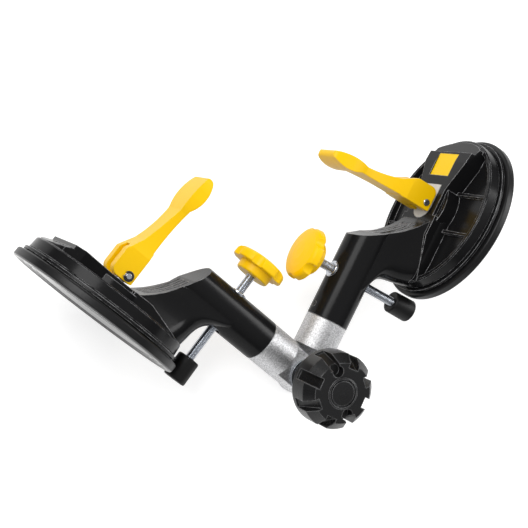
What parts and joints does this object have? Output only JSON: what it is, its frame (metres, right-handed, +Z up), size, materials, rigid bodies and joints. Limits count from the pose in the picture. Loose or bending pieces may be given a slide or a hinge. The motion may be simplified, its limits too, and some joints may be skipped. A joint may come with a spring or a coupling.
{
  "type": "adjustable corner clamp with suction cups",
  "caption": "Folding corner clamp with lever suction heads, levelling screws and a star clamp knob, for holding tiles or slabs at an angle.",
  "frame": {"origin": "under the middle of the part on the surface that it lies on", "axes": "+Z up; -Y is the side of the hinge and the star knob, +Y the side where the suction heads open; X runs across both heads"},
  "size_m": [0.4208, 0.2196, 0.1437],
  "materials": {
    "black_moulding": "satin gloss moulding",
    "pad_rubber": "smooth rubber",
    "foot_rubber": "matt rubber",
    "zinc_steel": "zinc plated",
    "stem_metal": "turned",
    "yellow_moulding": "satin",
    "spring_steel": "phosphated",
    "wear_plate": "matt",
    "label_yellow": "printed film, bare",
    "black_steel": "blackened",
    "cast_aluminium": "blasted and turned",
    "friction_fibre": "matt",
    "black_knob": "satin moulding"
  },
  "bodies": {
    "left_head": {"left_housing": "black_moulding", "left_suction_pad": "pad_rubber", "left_wear_plate": "wear_plate", "left_label_plate": "label_yellow", "left_screw_insert": "zinc_steel", "left_set_screw": "black_steel", "left_hinge_arm": "cast_aluminium"},
    "left_stem": {"left_stem": "stem_metal", "left_pad_plate": "zinc_steel"},
    "left_lever": {"left_lever": "yellow_moulding", "left_lever_pin": "zinc_steel", "left_e_clip": "spring_steel"},
    "left_foot": {"left_foot": "foot_rubber"},
    "left_screw": {"left_screw": "zinc_steel", "left_screw_knob": "yellow_moulding"},
    "right_head": {"right_housing": "black_moulding", "right_suction_pad": "pad_rubber", "right_wear_plate": "wear_plate", "right_label_plate": "label_yellow", "right_screw_insert": "zinc_steel", "right_set_screw": "black_steel", "right_hinge_arm": "cast_aluminium", "hinge_bolt": "zinc_steel", "back_washer": "zinc_steel", "friction_washer": "friction_fibre"},
    "right_stem": {"right_stem": "stem_metal", "right_pad_plate": "zinc_steel"},
    "right_lever": {"right_lever": "yellow_moulding", "right_lever_pin": "zinc_steel", "right_e_clip": "spring_steel"},
    "right_foot": {"right_foot": "foot_rubber"},
    "right_screw": {"right_screw": "zinc_steel", "right_screw_knob": "yellow_moulding"},
    "clamp_washer": {"knob_washer": "zinc_steel"},
    "clamp_knob": {"star_knob": "black_knob", "knob_cap": "black_knob"}
  },
  "joints": [
    {"name": "fold", "type": "hinge", "parent": "left_head", "child": "right_head", "pos_m": [0, -0.0504, 0.0229], "axis": [0, 0.5103, -0.86], "range_deg": [0, 186]},
    {"name": "left_stem_lift", "type": "slide", "parent": "left_head", "child": "left_stem", "axis": [0.7744, 0.5441, 0.3229], "range_m": [0, 0.0112]},
    {"name": "left_lever_flip", "type": "hinge", "parent": "left_stem", "child": "left_lever", "pos_m": [-0.13358, 0.05119, 0.08319], "axis": [0, -0.5103, 0.86], "range_deg": [0, 90]},
    {"name": "left_foot_slide", "type": "slide", "parent": "left_head", "child": "left_foot", "axis": [-0.7744, -0.5441, -0.3229], "range_m": [0, 0.015]},
    {"name": "left_screw_turn", "type": "hinge", "parent": "left_foot", "child": "left_screw", "pos_m": [-0.10884, -0.02759, 0.03644], "axis": [-0.7744, -0.5441, -0.3229], "range_deg": [0, 4320]},
    {"name": "right_stem_lift", "type": "slide", "parent": "right_head", "child": "right_stem", "axis": [-0.7744, 0.5441, 0.3229], "range_m": [0, 0.0112]},
    {"name": "right_lever_flip", "type": "hinge", "parent": "right_stem", "child": "right_lever", "pos_m": [0.13358, 0.05119, 0.08319], "axis": [0, 0.5103, -0.86], "range_deg": [0, 90]},
    {"name": "right_foot_slide", "type": "slide", "parent": "right_head", "child": "right_foot", "axis": [0.7744, -0.5441, -0.3229], "range_m": [0, 0.015]},
    {"name": "right_screw_turn", "type": "hinge", "parent": "right_foot", "child": "right_screw", "pos_m": [0.10884, -0.02759, 0.03644], "axis": [0.7744, -0.5441, -0.3229], "range_deg": [0, 4320]},
    {"name": "clamp_release", "type": "slide", "parent": "right_head", "child": "clamp_washer", "axis": [0, -0.5103, 0.86], "range_m": [0, 0.00175]},
    {"name": "clamp_turn", "type": "hinge", "parent": "clamp_washer", "child": "clamp_knob", "pos_m": [0, -0.0504, 0.0229], "axis": [0, -0.5103, 0.86], "range_deg": [0, 360]}
  ],
  "couplings": [
    {"joint": "left_stem_lift", "follows": "left_lever_flip", "m_per_rad": 0.0071301},
    {"joint": "left_foot_slide", "follows": "left_screw_turn", "m_per_rad": 0.00019894},
    {"joint": "right_stem_lift", "follows": "right_lever_flip", "m_per_rad": 0.0071301},
    {"joint": "right_foot_slide", "follows": "right_screw_turn", "m_per_rad": 0.00019894},
    {"joint": "clamp_release", "follows": "clamp_turn", "m_per_rad": 0.00027852}
  ]
}
